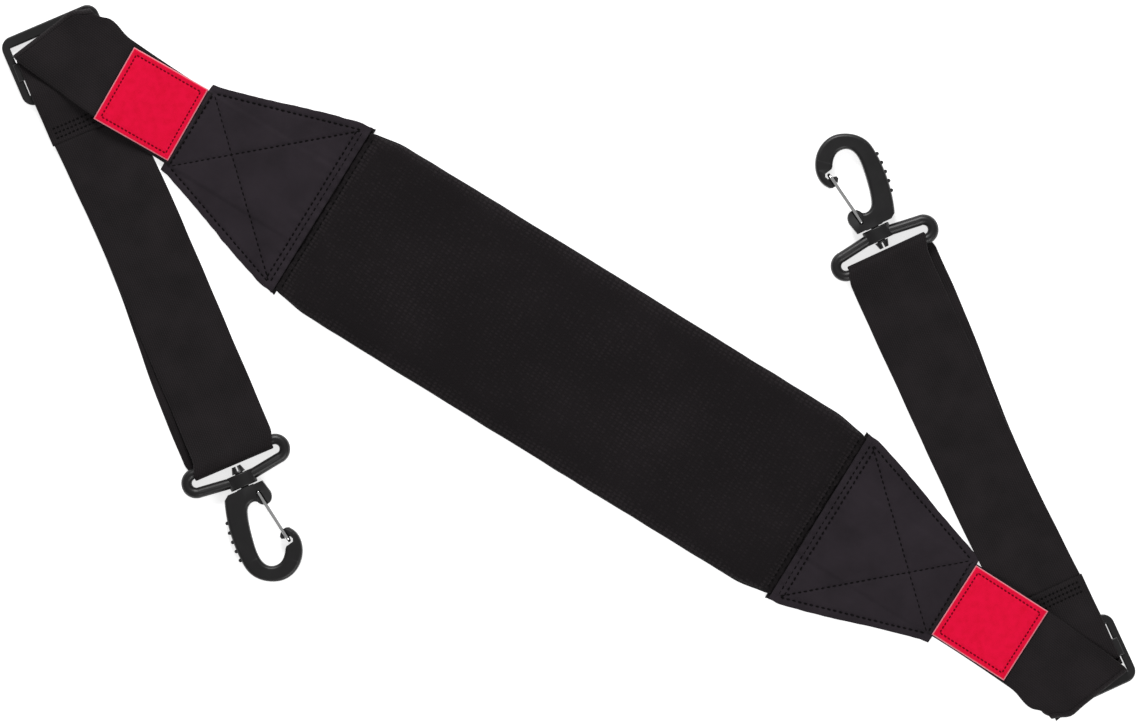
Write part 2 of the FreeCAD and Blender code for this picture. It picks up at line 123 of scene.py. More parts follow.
class Shader:
    """A material whose nodes are added one by one."""

    def __init__(self, name, base, roughness, specular=0.5, sheen=0.0, metallic=0.0):
        self.material = bpy.data.materials.new(name)
        self.material.use_nodes = True
        self.tree = self.material.node_tree
        self.bsdf = self.tree.nodes["Principled BSDF"]
        self.set(self.bsdf, "Base Color", (*base, 1))
        self.set(self.bsdf, "Roughness", roughness)
        self.set(self.bsdf, "Specular IOR Level", specular)
        self.set(self.bsdf, "Metallic", metallic)
        if sheen:
            self.set(self.bsdf, "Sheen Weight", sheen)
            self.set(self.bsdf, "Sheen Roughness", 0.6)

    def set(self, node, socket, value):
        """value is a number, a colour or another node's output."""
        if isinstance(value, bpy.types.NodeSocket):
            self.tree.links.new(value, node.inputs[socket])
        else:
            node.inputs[socket].default_value = value

    def add(self, kind, output=0, inputs=None, **settings):
        node = self.tree.nodes.new("ShaderNode" + kind)
        for name, value in settings.items():
            setattr(node, name, value)
        for socket, value in (inputs or {}).items():
            self.set(node, socket, value)
        return node.outputs[output]

    def math(self, operation, a, b=0.0):
        return self.add("Math", inputs={0: a, 1: b}, operation=operation)

    def blend(self, share, a, b):
        """Colour between a and b."""
        node = self.tree.nodes.new("ShaderNodeMix")
        node.data_type = "RGBA"
        for socket, value in ((0, share), (6, a), (7, b)):
            self.set(node, socket, value)
        return node.outputs[2]

    def ramp(self, value, low, high):
        """0 below low and 1 above high."""
        return self.add("MapRange", inputs={0: value, 1: low, 2: high}, interpolation_type="SMOOTHSTEP")

    def noise(self, vector, size, detail=3.0):
        return self.add("TexNoise", inputs={"Vector": vector, "Scale": 1 / size, "Detail": detail})

    def bump(self, height, distance, strength=1.0):
        normal = self.add("Bump", inputs={"Strength": strength, "Distance": distance, "Height": height})
        self.set(self.bsdf, "Normal", normal)

    def coordinates(self, turn=None):
        """Position along and across the cloth: from the UVs in metres, or from space turned by that angle."""
        if turn is None:
            return self.add("TexCoord", output="UV")
        place = self.add("TexCoord", output="Object")
        return self.add("Mapping", inputs={"Vector": place, "Rotation": (0, 0, -turn)})


def shade(colour, share):
    return (*[c * share for c in colour], 1)


def woven(shader, vector, rib, pick):
    """Height of a plain weave, with ribs along x whose picks are offset from rib to rib."""
    split = shader.tree.nodes.new("ShaderNodeSeparateXYZ")
    shader.set(split, 0, vector)
    across = shader.math("DIVIDE", split.outputs[1], rib)
    along = shader.math("DIVIDE", split.outputs[0], pick)
    row = shader.math("MULTIPLY", shader.math("FLOOR", across), 0.5)
    ribs = shader.math("ABSOLUTE", shader.math("SINE", shader.math("MULTIPLY", across, math.pi)))
    wave = shader.math("MULTIPLY", shader.math("ADD", along, row), math.pi)
    picks = shader.math("ABSOLUTE", shader.math("SINE", wave))
    return shader.math("MULTIPLY", shader.math("POWER", ribs, 0.6), shader.math("ADD", picks, 0.6))


def webbing_material(name, turn=None):
    base = (0.0128, 0.0103, 0.0113)
    shader = Shader(name, base, 0.8, specular=0.12, sheen=0.02)
    vector = shader.coordinates(turn)
    weave = woven(shader, vector, 1.25 * MM, 1.7 * MM)
    worn = shader.noise(vector, 22 * MM)
    tone = shader.math("ADD", shader.math("MULTIPLY", weave, 0.28), worn)
    colour = shader.blend(shader.ramp(tone, 0.35, 1.15), shade(base, 0.6), shade(base, 1.45))
    shader.set(shader.bsdf, "Base Color", colour)
    shader.set(shader.bsdf, "Roughness", shader.math("ADD", shader.math("MULTIPLY", worn, 0.2), 0.62))
    fuzz = shader.noise(vector, 0.35 * MM, 1.0)
    shader.bump(shader.math("ADD", weave, shader.math("MULTIPLY", fuzz, 0.5)), 0.12 * MM)
    return shader.material


def mesh_fabric_material():
    """Knitted mesh: rows of small rounded cells with darker holes between them."""
    base = (0.0156, 0.0126, 0.014)
    shader = Shader("mesh_fabric", base, 0.9, specular=0.1, sheen=0.02)
    vector = shader.coordinates(0.0)
    warped = shader.add("Mapping", inputs={"Vector": vector, "Scale": (1.0, 1.5, 0.6)})
    cells = shader.add("TexVoronoi", inputs={"Vector": warped, "Scale": 1 / (3.1 * MM), "Randomness": 0.18})
    knit = shader.ramp(cells, 0.62, 0.12)
    stitch = woven(shader, vector, 0.8 * MM, 0.8 * MM)
    cloud = shader.noise(vector, 45 * MM)
    tone = shader.math("ADD", shader.math("MULTIPLY", knit, 0.55), shader.math("MULTIPLY", cloud, 0.6))
    colour = shader.blend(shader.ramp(tone, 0.2, 0.9), shade(base, 0.62), shade(base, 1.3))
    shader.set(shader.bsdf, "Base Color", colour)
    shader.bump(shader.math("ADD", knit, shader.math("MULTIPLY", stitch, 0.25)), 0.35 * MM)
    return shader.material


def plain_cloth_material(name, base, size=0.55 * MM):
    shader = Shader(name, base, 0.85, specular=0.1, sheen=0.03)
    vector = shader.coordinates(0.0)
    weave = woven(shader, vector, size, size)
    cloud = shader.noise(vector, 18 * MM)
    tone = shader.math("ADD", shader.math("MULTIPLY", weave, 0.3), cloud)
    colour = shader.blend(shader.ramp(tone, 0.3, 1.1), shade(base, 0.75), shade(base, 1.25))
    shader.set(shader.bsdf, "Base Color", colour)
    crumple = shader.noise(vector, 6 * MM)
    shader.bump(shader.math("ADD", shader.math("MULTIPLY", weave, 0.25), crumple), 0.3 * MM)
    return shader.material


def label_material(half_width, half_length):
    """Red woven label, with a painted highlight as a paler rim along its edge, and a fine rib."""
    base = (0.95, 0.003, 0.03)
    shader = Shader("label_fabric", base, 0.7, specular=0.06)
    vector = shader.coordinates()
    split = shader.tree.nodes.new("ShaderNodeSeparateXYZ")
    shader.set(split, 0, vector)
    to_side = shader.math("SUBTRACT", half_width, shader.math("ABSOLUTE", split.outputs[1]))
    to_end = shader.math("SUBTRACT", half_length, shader.math("ABSOLUTE", split.outputs[0]))
    edge = shader.math("MINIMUM", to_side, to_end)
    weave = woven(shader, vector, 0.45 * MM, 0.45 * MM)
    cloud = shader.noise(vector, 5 * MM)
    tone = shader.math("ADD", shader.math("MULTIPLY", weave, 0.5), cloud)
    red = shader.blend(shader.ramp(tone, 0.4, 1.1), (0.78, 0.003, 0.02, 1), (1.0, 0.006, 0.06, 1))
    # Pale pink towards the edge: a painted highlight along the label's rounded rim.
    red_with_edge_highlight = shader.blend(shader.ramp(edge, 0.9 * MM, 0.35 * MM), red, (0.95, 0.3, 0.36, 1))
    shader.set(shader.bsdf, "Base Color", red_with_edge_highlight)
    shader.bump(weave, 0.1 * MM)
    return shader.material


def thread_material(name, base):
    shader = Shader(name, base, 0.8, specular=0.06)
    vector = shader.coordinates(0.6)
    twist = shader.add("TexWave", output=1, inputs={"Vector": vector, "Scale": 700.0, "Distortion": 0.6})
    colour = shader.blend(twist, shade(base, 0.7), shade(base, 1.5))
    shader.set(shader.bsdf, "Base Color", colour)
    shader.bump(twist, 0.08 * MM)
    return shader.material


def plastic_material():
    """Black moulded plastic with a fine spark-eroded grain, rubbed smoother and paler on its edges."""
    base = (0.0075, 0.007, 0.0075)
    shader = Shader("moulded_plastic", base, 0.36, specular=0.45)
    vector = shader.coordinates(0.0)
    grain = shader.noise(vector, 0.32 * MM, 2.0)
    patch = shader.noise(vector, 9 * MM)
    edge = shader.add("NewGeometry", output="Pointiness")
    worn = shader.math("MULTIPLY", shader.ramp(edge, 0.52, 0.6), patch)
    shader.set(shader.bsdf, "Base Color", shader.blend(worn, (*base, 1), (0.05, 0.05, 0.051, 1)))
    rough = shader.math("ADD", shader.math("MULTIPLY", patch, 0.2), 0.3)
    shader.set(shader.bsdf, "Roughness", shader.math("SUBTRACT", rough, shader.math("MULTIPLY", worn, 0.1)))
    shader.bump(grain, 0.05 * MM, 0.6)
    return shader.material


def steel_material():
    shader = Shader("wire_steel", (0.9, 0.9, 0.9), 0.16, metallic=1.0)
    vector = shader.coordinates(0.0)
    drawn = shader.noise(vector, 0.8 * MM)
    shader.set(shader.bsdf, "Roughness", shader.math("ADD", shader.math("MULTIPLY", drawn, 0.16), 0.08))
    shader.bump(drawn, 0.02 * MM, 0.5)
    return shader.material


# ---------------------------------------------------------------- mesh helpers


def make_object(name, vertices, faces, material, uvs=None):
    mesh = bpy.data.meshes.new(name)
    mesh.from_pydata([tuple(v) for v in vertices], [], faces)
    work = bmesh.new()
    work.from_mesh(mesh)
    bmesh.ops.recalc_face_normals(work, faces=work.faces)
    if uvs is not None:
        layer = work.loops.layers.uv.new("cloth")
        work.verts.ensure_lookup_table()
        for face in work.faces:
            for loop in face.loops:
                loop[layer].uv = uvs[loop.vert.index]
    work.to_mesh(mesh)
    work.free()
    mesh.polygons.foreach_set("use_smooth", [True] * len(mesh.polygons))
    mesh.materials.append(material)
    piece = bpy.data.objects.new(name, mesh)
    bpy.context.scene.collection.objects.link(piece)
    return piece


def section(width, thick, count):
    """Closed outline of a webbing's section, as (across, height): underside, edge, top, edge."""
    half = width / 2 - thick / 2
    flat = [mix(-half, half, n / count) for n in range(count + 1)]
    turns = [math.pi * n / (EDGE_POINTS + 1) for n in range(1, EDGE_POINTS + 1)]
    edge = [(half + math.sin(turn) * thick / 2, (1 - math.cos(turn)) * thick / 2) for turn in turns]
    under = [(v, 0.0) for v in flat]
    top = [(v, thick) for v in reversed(flat)]
    return under + edge + top + [(-v, height) for v, height in reversed(edge)]


def slab(name, surface, rows, outline, material):
    """Closed sheet: surface(row, across) gives (point on the underside, normal, distance along the cloth)."""
    vertices = []
    uvs = []
    for row in range(rows + 1):
        for across, height in outline:
            base, normal, along = surface(row / rows, across)
            vertices.append(base + normal * height)
            uvs.append((along, across))
    size = len(outline)
    faces = []
    for row in range(rows):
        for n in range(size):
            a = row * size + n
            b = row * size + (n + 1) % size
            faces.append((a, b, b + size, a + size))
    # Each end is closed by quads from the underside to the top, so that no end is one big face.
    flat = size // 2 - EDGE_POINTS
    for start in (0, rows * size):
        low = list(range(start, start + flat))
        high = [n + flat + EDGE_POINTS for n in reversed(low)]
        faces += [(low[n], low[n + 1], high[n + 1], high[n]) for n in range(flat - 1)]
        faces.append((low[-1], *range(start + flat, start + flat + EDGE_POINTS), high[-1]))
        faces.append((low[0], high[0], *range(start + size - EDGE_POINTS, start + size)))
    return make_object(name, vertices, faces, material, uvs)


def drop(piece):
    """Function that gives the height of the piece's upper surface at (x, y), or None beside it."""
    tree = BVHTree.FromObject(piece, bpy.context.evaluated_depsgraph_get())

    def height(x, y):
        hit = tree.ray_cast(Vector((x, y, 1.0)), Vector((0, 0, -1)))
        return hit[0]

    return height


def stitch_mesh(name, stitches, material, radius=0.42 * MM):
    """Stitches as short bowed threads. Each is (start, end): the thread dips into the cloth at both."""
    rings = 5
    sides = 6
    vertices = []
    faces = []
    for start, end in stitches:
        run = (end - start).normalized()
        across = run.cross(UP).normalized()
        lift = across.cross(run)
        first = len(vertices)
        for ring in range(rings + 1):
            share = ring / rings
            fat = radius * (0.25 + 0.75 * math.sin(math.pi * share) ** 0.5)
            centre = mix(start, end, share) + lift * (math.sin(math.pi * share) * 1.1 - 0.45) * radius
            for side in range(sides):
                turn = 2 * math.pi * side / sides
                vertices.append(centre + (across * math.cos(turn) + lift * math.sin(turn)) * fat)
        for ring in range(rings):
            for side in range(sides):
                a = first + ring * sides + side
                b = first + ring * sides + (side + 1) % sides
                faces.append((a, b, b + sides, a + sides))
        faces.append(tuple(first + side for side in reversed(range(sides))))
        faces.append(tuple(first + rings * sides + side for side in range(sides)))
    return make_object(name, vertices, faces, material, None)


def stitch_row(start, end, height, pitch=STITCH_PITCH, gap=0.28, stray=0.12 * MM):
    """Stitches along a straight line in plan, seated on the surface that height() gives."""
    run = end - start
    count = max(1, round(run.length / pitch))
    found = []
    for n in range(count):
        ends = []
        for share in (n + gap / 2, n + 1 - gap / 2):
            place = mix(start, end, share / count)
            wander = Vector((random.uniform(-1, 1), random.uniform(-1, 1), 0)) * stray
            ends.append(height(place.x + wander.x, place.y + wander.y))
        if None not in ends:
            found.append(tuple(ends))
    return found


# ---------------------------------------------------------------- the two ends


class Side:
    """One end of the strap, with its directions and places brought back to the left end's frame."""

    def __init__(self, name):
        self.name = name
        self.turn = Matrix.Rotation(math.pi if name == "right" else 0.0, 4, "Z")
        back = self.turn.inverted()
        self.out = self.local(back, "strand_slide", "axis")
        self.fold_line = self.local(back, "fold", "axis")
        self.fold = self.local(back, "fold", "pos_m")
        self.arm = self.local(back, "arm_slide", "axis")
        low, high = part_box(self.node("slider"))
        self.slider = back.to_3x3() @ ((low + high) / 2).xy.to_3d()
        self.reach = (self.slider - self.fold.xy.to_3d()).length
        self.bar = self.local(back, "loop_pivot", "pos_m")

    def local(self, back, joint, key):
        return back.to_3x3() @ Vector(JOINTS[f"{self.name}_{joint}"][key])

    def node(self, name):
        return f"{self.name}_{name}"

    body = node  # a body is named in the same way as a node

    def place(self, piece):
        """Turns a piece built in the left end's frame to this end."""
        piece.data.transform(self.turn)
        return piece

    def spot(self, point):
        return self.turn @ point


# Heights are above the floor. Places along the arm are measured from the slider's centre.
STRAND_UNDER = 9.4 * MM  # underside of the strand at the fold
STRAND_CLIMB = 52 * MM  # length over which it rises to that, from the panel's tip
BAR_TOP_WEB = 4.9 * MM  # underside of the webbing on the slider's outer bar
CENTRE_BAR = 5.6 * MM  # edge of the slider's centre bar
INNER_BAR = (13.6 * MM, 21.5 * MM)  # where the webbing lies on the inner bar
INNER_BAR_TOP = 4.6 * MM
PAST_SLIDER = 36 * MM  # where it is down on the floor again
NEAR_WEB_END = 48 * MM  # where the arm's webbing begins

# Places of an end panel are measured from the strap's middle.
PANEL_TIP = 266 * MM
PANEL_BASE = 173 * MM
PANEL_WIDE = 58 * MM  # half its width at the base
PANEL_NARROW = 28.5 * MM  # half its width at the tip


def across_of(way):
    return Vector((way.y, -way.x, 0))


def fold_way(side, line):
    """The direction of the fold that runs the same way as line."""
    return side.fold_line if side.fold_line.dot(line) > 0 else -side.fold_line


def strand_centre(side, x):
    """The strand's middle line in plan, which bows a little on its way to the fold."""
    share = max(0.0, (-PANEL_TIP - x) / (-PANEL_TIP - side.fold.x))
    return Vector((x, side.fold.y * share ** 1.8, 0))


def strand_height(x):
    """Underside of the strand: up from the end panel over the arm below."""
    share = smooth((-PANEL_TIP - x + 4 * MM) / STRAND_CLIMB)
    return mix(2.4 * MM, STRAND_UNDER, share)


def fold_tuck(share):
    """How far the fold's far corner is rolled in: share is 0 at the fold's middle and 1 at that corner."""
    return 6.5 * MM * smooth((share - 0.55) / 0.45) ** 1.4


def fold_lump(side, share):
    """Height of the bunched webbing towards the fold's far corner."""
    bunch = smooth((share - 0.2) / 0.8)
    return bunch * (2.2 * MM + 1.0 * MM * ripple(side.fold.x, share * WEB_WIDTH / 2, 7 * MM, 3))


def strand_swell(x, y):
    """Slight unevenness of the strand, which is never quite flat."""
    return 0.25 * MM * ripple(x, y, 16 * MM, 1)


def make_strand(side, material):
    start_x = -PANEL_TIP + 3 * MM
    fold_line = fold_way(side, across_of(side.out))

    def surface(row, across):
        x = mix(start_x, side.fold.x, row)
        centre = strand_centre(side, x)
        ahead = strand_centre(side, x - MM)
        way = (ahead - centre).normalized()
        skew = across_of(way).lerp(fold_line, smooth((row - 0.35) / 0.65)).normalized()
        reach = across / abs(skew.cross(way).z)
        spot = centre + skew * reach
        rise = strand_height(spot.x)
        near_fold = smooth((row - 0.6) / 0.4)
        share = across / WEB_WIDTH * 2
        lump = near_fold * fold_lump(side, share)
        lump += 0.5 * MM * near_fold * smooth(share) * ripple(spot.x, spot.y, 4 * MM, 12)
        swell = strand_swell(spot.x, spot.y)
        pull = smooth((share - 0.3) / 0.7) * 2.8 * MM * math.sin(math.pi * smooth((row - 0.62) / 0.38))
        spot = spot + skew * pull - side.out * fold_tuck(share) * smooth((row - 0.8) / 0.2)
        slope = (strand_height(spot.x - MM) - strand_height(spot.x)) / MM
        normal = (UP - way * slope).normalized()
        return Vector((spot.x, spot.y, rise + lump + swell)), normal, x - start_x

    outline = section(WEB_WIDTH, WEB_THICK, 26)
    piece = side.place(slab(side.node("pad_strand"), surface, 60, outline, material))
    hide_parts(side.node("strand"))
    from_x = -PANEL_TIP - STRAND_CLIMB
    start = strand_centre(side, from_x)
    end = side.fold - side.out * 6 * MM
    side.body("turn")
    side.spot(start)
    side.spot(end)
    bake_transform(piece)
    return piece


def make_turn(side, material):
    """Half turn of webbing at the fold, bunched towards its far corner."""
    fold_line = fold_way(side, across_of(side.out))
    outward = Vector((-fold_line.y, fold_line.x, 0))
    if outward.dot(side.out) < 0:
        outward = -outward
    width = WEB_WIDTH / abs(fold_line.cross(side.out).z)
    low = BAR_TOP_WEB + WEB_THICK
    high = STRAND_UNDER

    def surface(row, across):
        turn = math.pi * row
        share = across / width * 2
        bunch = smooth((share - 0.2) / 0.8)
        top = high + fold_lump(side, share)
        inner = (top - low) / 2
        middle = (top + low) / 2
        crease = 1 + 0.18 * ripple(across, row * 9 * MM, 5 * MM, 8) * bunch
        normal = (outward * math.sin(turn) + UP * math.cos(turn)).normalized()
        spot = side.fold - side.out * fold_tuck(share)
        spot.z = middle
        spot = spot + fold_line * across + outward * math.sin(turn) * inner * crease * 0.9
        spot = spot + UP * math.cos(turn) * inner
        return spot, normal, row * math.pi * inner

    piece = slab(side.node("turned_webbing"), surface, 18, section(width, WEB_THICK, 26), material)
    side.place(piece)
    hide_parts(side.node("strand_turn"))
    start = side.fold + UP * (STRAND_UNDER + WEB_THICK - side.fold.z)
    end = side.fold - UP * (side.fold.z - BAR_TOP_WEB)
    side.body("turn")
    side.body("slider")
    side.spot(start)
    side.spot(end)
    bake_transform(piece)


def over_inner_bar(height):
    """Points of a layer of that height, over the slider's inner bar and down to where the arm begins."""
    top = INNER_BAR_TOP + height
    return [(INNER_BAR[0], top), (INNER_BAR[1], top), (PAST_SLIDER, height), (NEAR_WEB_END, height)]


def profile_band(name, side, profile, material, shift):
    """Webbing along (along, height) points of its mid-surface, from the slider's centre along the arm.

    shift(outward, along) is how far it lies to the side; outward is true up to the path's furthest point.
    """
    path = resample(rounded([Vector(p) for p in profile]), WEB_STEP)
    across_way = across_of(side.arm)
    last = len(path) - 1
    front = max(range(last + 1), key=lambda n: path[n].x)

    def surface(row, across):
        at = row * last
        n = min(int(round(at)), last)
        spot = path[n]
        run = (path[min(n + 1, last)] - path[max(n - 1, 0)]).normalized()
        normal = (UP * run.x - side.arm * run.y).normalized()
        base = side.slider + side.arm * spot.x + UP * spot.y
        drift = shift(n <= front, spot.x)
        wave = 0.18 * MM * ripple(base.x + across, base.y, 19 * MM, 5)
        waver = 0.25 * MM * ripple(spot.x, across / 40, 23 * MM, 2)
        base = base + across_way * (across + drift + waver) - normal * (WEB_THICK / 2) + UP * abs(wave)
        return base, normal, n * WEB_STEP

    piece = slab(name, surface, last, section(WEB_WIDTH, WEB_THICK, 24), material)
    return side.place(piece), last * WEB_STEP


def make_slider_webbing(side, material):
    """The sliding strand through the slider, and the sewn loop that holds the centre bar."""
    mid = WEB_THICK / 2
    over = BAR_TOP_WEB + mid
    weave = [(-side.reach, over), (-11.5 * MM, over), (-9.4 * MM, over)]
    weave += [(-7.2 * MM, mid), (0, mid), (CENTRE_BAR, mid)] + over_inner_bar(mid)
    line = across_of(side.arm)
    fold_line = fold_way(side, line)
    path = resample(rounded([Vector(p) for p in weave], 2), WEB_STEP)
    last = len(path) - 1

    def surface(row, across):
        n = int(round(row * last))
        spot = path[n]
        run = (path[min(n + 1, last)] - path[max(n - 1, 0)]).normalized()
        from_fold = smooth((spot.x + side.reach) / (9 * MM))
        skew = fold_line.lerp(line, from_fold).normalized()
        reach = across / abs(skew.cross(side.arm).z)
        normal = (UP * run.x - side.arm * run.y).normalized()
        tuck = fold_tuck(across / WEB_WIDTH * 2) * (1 - from_fold)
        base = side.slider + side.arm * (spot.x + tuck) + UP * spot.y + skew * reach - normal * mid
        return base, normal, n * WEB_STEP

    outline = section(WEB_WIDTH, WEB_THICK, 24)
    piece = side.place(slab(side.node("woven_webbing"), surface, last, outline, material))
    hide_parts(side.node("slider_webbing"))
    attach(piece, side.body("slider"))
    side.node("slider")

    wall = -CENTRE_BAR - mid
    over = 5.9 * MM + mid
    sewn = over_inner_bar(3 * mid)[::-1] + [(CENTRE_BAR, 3 * mid), (-4.5 * MM, 3 * mid)]
    sewn += [(wall, 3 * mid + 0.6 * MM), (wall, 5.4 * MM), (-4.5 * MM, over), (5.0 * MM, over)]
    sewn += over_inner_bar(5 * mid)
    piece, length = profile_band(side.node("bar_loop"), side, sewn, material, lambda outward, along: 0.0)
    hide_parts(side.node("sewn_loop"))
    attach(piece, side.body("slider"))
    side.node("slider")
    height = drop(piece)
    stitches = []
    to_edge = WEB_WIDTH / 2 - 3.5 * MM
    for along in (38.5 * MM, 41.5 * MM, 44.5 * MM):
        middle = side.slider + side.arm * along
        ends = [side.spot(middle + line * to_edge * sign) for sign in (1, -1)]
        stitches += stitch_row(*ends, height, pitch=2.6 * MM)
    return stitches


def make_arm(side, material):
    """The arm: one webbing out to the swivel loop, round its bar and back under itself to the slider."""
    mid = WEB_THICK / 2
    to_bar = side.bar.xy.to_3d() - side.slider
    bar = to_bar.dot(side.arm)
    bar_shift = to_bar.dot(across_of(side.arm))
    seam = bar - 26 * MM
    bow = 2.9 * MM
    spread = 2.6 * MM
    reach = 4.2 * MM
    centre = side.bar.z
    start = NEAR_WEB_END + 0.1 * MM

    def shift(outward, along):
        bowed = bow * smooth((along - 5 * MM) / (115 * MM))
        if not outward:
            bowed = mix(bowed, -spread, smooth((along - 0.5 * seam) / (0.5 * seam)))
        return mix(-bowed, bar_shift, smooth((along - bar + 7 * MM) / (7 * MM + reach)))

    profile = [(start, 5 * mid), (start + 5 * MM, 5 * mid), (start + 18 * MM, 3 * mid)]
    profile += [(seam - 18 * MM, 3 * mid), (bar - 15 * MM, mix(centre + reach, 3 * mid, 0.7))]
    profile.append((bar - 2 * MM, centre + reach))
    for n in range(1, 10):
        turn = math.pi * (0.5 - n / 10)
        profile.append((bar + math.cos(turn) * reach, centre + math.sin(turn) * reach))
    profile += [(bar - 2 * MM, centre - reach), (bar - 14 * MM, mid)]
    profile += [(seam - 18 * MM, mid), (start, mid)]
    piece, length = profile_band(side.node("arm_webbing"), side, profile, material, shift)
    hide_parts(side.node("arm_upper"), side.node("arm_bight"), side.node("arm_under"))
    ends = [side.spot(side.slider + side.arm * along) for along in (NEAR_WEB_END, seam)]
    side.body("slider")
    side.body("arm")
    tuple(ends[0])
    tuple(ends[1])
    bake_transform(piece)
    side.node("loop")


LABEL_LENGTH = 50 * MM
LABEL_WIDTH = 48.5 * MM
LABEL_CENTRE = -290.5 * MM
LABEL_THICK = 0.9 * MM


def make_label(side, material, thread, turn):
    middle = strand_centre(side, LABEL_CENTRE)
    way = Matrix.Rotation(turn, 4, "Z") @ Vector((-1, 0, 0))
    line = Vector((-way.y, way.x, 0))
    groove_at = 3.4 * MM

    def surface(row, across):
        along = (row - 0.5) * LABEL_LENGTH
        spot = middle + way * along + line * across
        base = strand_height(spot.x) + WEB_THICK * 1.01 + strand_swell(spot.x, spot.y)
        edge = min(LABEL_LENGTH / 2 - abs(along), LABEL_WIDTH / 2 - abs(across))
        groove = math.exp(-((edge - groove_at) / (0.55 * MM)) ** 2)
        puff = 0.22 * MM * smooth(edge / (1.6 * MM)) + 0.12 * MM * ripple(spot.x, spot.y, 9 * MM, 6)
        lift = 0.05 * MM + puff - 0.42 * MM * groove * (1 if edge > 0 else 0)
        return Vector((spot.x, spot.y, base + lift)), UP, along

    outline = section(LABEL_WIDTH, LABEL_THICK, 56)
    piece = side.place(slab(side.node("red_label"), surface, 56, outline, material))
    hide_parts(side.node("label"))
    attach(piece, "pad")
    top = drop(piece)
    far = LABEL_LENGTH / 2 - groove_at
    wide = LABEL_WIDTH / 2 - groove_at
    signs = ((1, 1), (1, -1), (-1, -1), (-1, 1))
    corners = [side.spot(middle + way * far * a + line * wide * b) for a, b in signs]
    stitches = []
    for a, b in zip(corners, corners[1:] + corners[:1]):
        stitches += stitch_row(a, b, top, pitch=2.5 * MM, gap=0.22, stray=0.05 * MM)
    rows = stitch_mesh(side.node("label_sewing"), stitches, thread, radius=0.42 * MM)
    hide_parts(side.node("label_stitching"))
    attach(rows, "pad")


# ---------------------------------------------------------------- end panels


def segment_gap(spot, start, end):
    """Distance in plan from a spot to a segment, and how far along it the nearest point is."""
    run = end - start
    share = max(0.0, min(1.0, (spot - start).dot(run) / run.length_squared))
    return (spot - start - run * share).length, share * run.length


def panel_lines():
    """Stitch lines of an end panel in plan: the edges, the seam's double row and the cross."""
    inset = 3.2 * MM
    base = -PANEL_BASE - 3.0 * MM
    second_base = base - inset
    tip = -PANEL_TIP + 3.5 * MM
    wide = PANEL_WIDE - 5.0 * MM
    narrow = PANEL_NARROW - inset
    places = ((base, -wide), (base, wide), (tip, narrow), (tip, -narrow))
    corners = [Vector((x, y, 0)) for x, y in places]
    second = tuple(Vector((second_base, y, 0)) for y in (-wide + 1 * MM, wide - 1 * MM))
    edges = list(zip(corners, corners[1:] + corners[:1]))
    return edges + [second, (corners[0], corners[2]), (corners[1], corners[3])]


def panel_half_width(x):
    share = (-PANEL_BASE - x) / (PANEL_TIP - PANEL_BASE)
    bow = 0.8 * MM * math.sin(math.pi * max(0.0, min(1.0, share * 1.6)))
    pinch = 1.2 * MM * smooth(1 - share / 0.07)
    flare = 0.9 * MM * smooth((share - 0.93) / 0.07)
    return mix(PANEL_WIDE, PANEL_NARROW, share) + bow - pinch + flare


